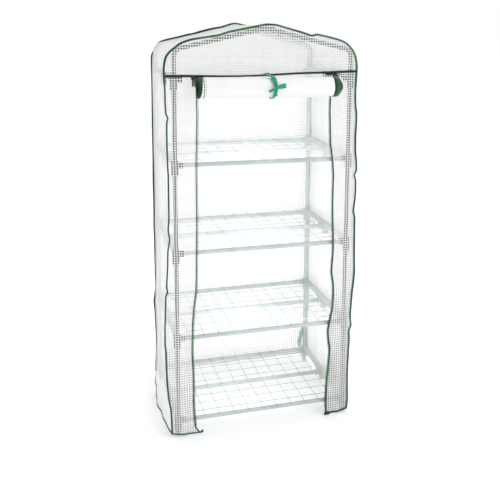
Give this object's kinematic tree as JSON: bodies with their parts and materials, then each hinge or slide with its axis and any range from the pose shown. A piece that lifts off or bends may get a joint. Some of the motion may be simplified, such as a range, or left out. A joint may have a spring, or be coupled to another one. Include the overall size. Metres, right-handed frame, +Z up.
{
  "type": "mini greenhouse",
  "caption": "Upright mini greenhouse: push-fit tube frame, wire shelves and a peaked, net-reinforced film cover whose zipped front rolls up under the header.",
  "frame": {"origin": "on the floor, in the middle of the whole footprint with the rolled door counted in; the middle of the four posts is 52.6 mm behind it", "axes": "+X to the right seen from the front, +Y to the rear, +Z up; the door opening faces -Y"},
  "size_m": [0.7, 0.6062, 1.5115],
  "materials": {
    "tube_paint": "satin grey-green powder coat",
    "moulding": "grey-green moulded plastic",
    "shelf_wire": "pale grey-green plastic coated wire",
    "cover_film": "clear film with a white reinforcing net and dark green bound seams",
    "door_film": "layers of the same film, rolled, with dark green bound edges",
    "ribbon": "teal-green woven tape",
    "zip_plastic": "black-green moulded plastic"
  },
  "bodies": {
    "frame": {"foot_fl": "tube_paint", "foot_fr": "tube_paint", "foot_rl": "tube_paint", "foot_rr": "tube_paint", "post_1_fl": "tube_paint", "post_1_fr": "tube_paint", "post_1_rl": "tube_paint", "post_1_rr": "tube_paint", "post_2_fl": "tube_paint", "post_2_fr": "tube_paint", "post_2_rl": "tube_paint", "post_2_rr": "tube_paint", "post_3_fl": "tube_paint", "post_3_fr": "tube_paint", "post_3_rl": "tube_paint", "post_3_rr": "tube_paint", "post_4_fl": "tube_paint", "post_4_fr": "tube_paint", "post_4_rl": "tube_paint", "post_4_rr": "tube_paint", "bracket_1_left": "moulding", "bracket_1_right": "moulding", "bracket_2_left": "moulding", "bracket_2_right": "moulding", "bracket_3_left": "moulding", "bracket_3_right": "moulding", "bracket_4_left": "moulding", "bracket_4_right": "moulding", "bracket_eave_left": "moulding", "bracket_eave_right": "moulding", "rail_1_front": "tube_paint", "rail_1_mid": "tube_paint", "rail_1_rear": "tube_paint", "rail_2_front": "tube_paint", "rail_2_mid": "tube_paint", "rail_2_rear": "tube_paint", "rail_3_front": "tube_paint", "rail_3_mid": "tube_paint", "rail_3_rear": "tube_paint", "rail_4_front": "tube_paint", "rail_4_mid": "tube_paint", "rail_4_rear": "tube_paint", "roof_tube_fl": "tube_paint", "roof_tube_fr": "tube_paint", "roof_tube_rl": "tube_paint", "roof_tube_rr": "tube_paint", "apex_connector_front": "moulding", "apex_connector_rear": "moulding", "ridge_tube": "tube_paint"},
    "shelf_1": {"shelf_1": "shelf_wire"},
    "shelf_2": {"shelf_2": "shelf_wire"},
    "shelf_3": {"shelf_3": "shelf_wire"},
    "shelf_4": {"shelf_4": "shelf_wire"},
    "cover": {"cover_wrap": "cover_film", "cover_back": "cover_film", "cover_front": "cover_film"},
    "door": {"door_roll": "door_film"},
    "tie": {"tie_ribbon": "ribbon"},
    "zip_left": {"zip_slider_left": "zip_plastic"},
    "zip_right": {"zip_slider_right": "zip_plastic"}
  },
  "joints": [
    {"name": "cover_lift_off", "type": "slide", "parent": "frame", "child": "cover", "axis": [0, 0, 1], "range_m": [0, 1.6]},
    {"name": "door_unroll", "type": "slide", "parent": "cover", "child": "door", "axis": [0, 0, -1], "range_m": [0, 1.24]},
    {"name": "tie_hang", "type": "hinge", "parent": "cover", "child": "tie", "pos_m": [-0.008, -0.2054, 1.344], "axis": [1, 0, 0], "range_deg": [0, 42.5]},
    {"name": "zip_left_slide", "type": "slide", "parent": "cover", "child": "zip_left", "axis": [0, 0, -1], "range_m": [0, 1.28]},
    {"name": "zip_right_slide", "type": "slide", "parent": "cover", "child": "zip_right", "axis": [0, 0, -1], "range_m": [0, 1.28]},
    {"name": "shelf_1_lift", "type": "slide", "parent": "frame", "child": "shelf_1", "axis": [0, 0, 1], "range_m": [0, 0.06]},
    {"name": "shelf_2_lift", "type": "slide", "parent": "frame", "child": "shelf_2", "axis": [0, 0, 1], "range_m": [0, 0.06]},
    {"name": "shelf_3_lift", "type": "slide", "parent": "frame", "child": "shelf_3", "axis": [0, 0, 1], "range_m": [0, 0.06]},
    {"name": "shelf_4_lift", "type": "slide", "parent": "frame", "child": "shelf_4", "axis": [0, 0, 1], "range_m": [0, 0.06]}
  ],
  "couplings": [
    {"joint": "tie_hang", "follows": "door_unroll", "rad_per_m": 0.59116}
  ]
}
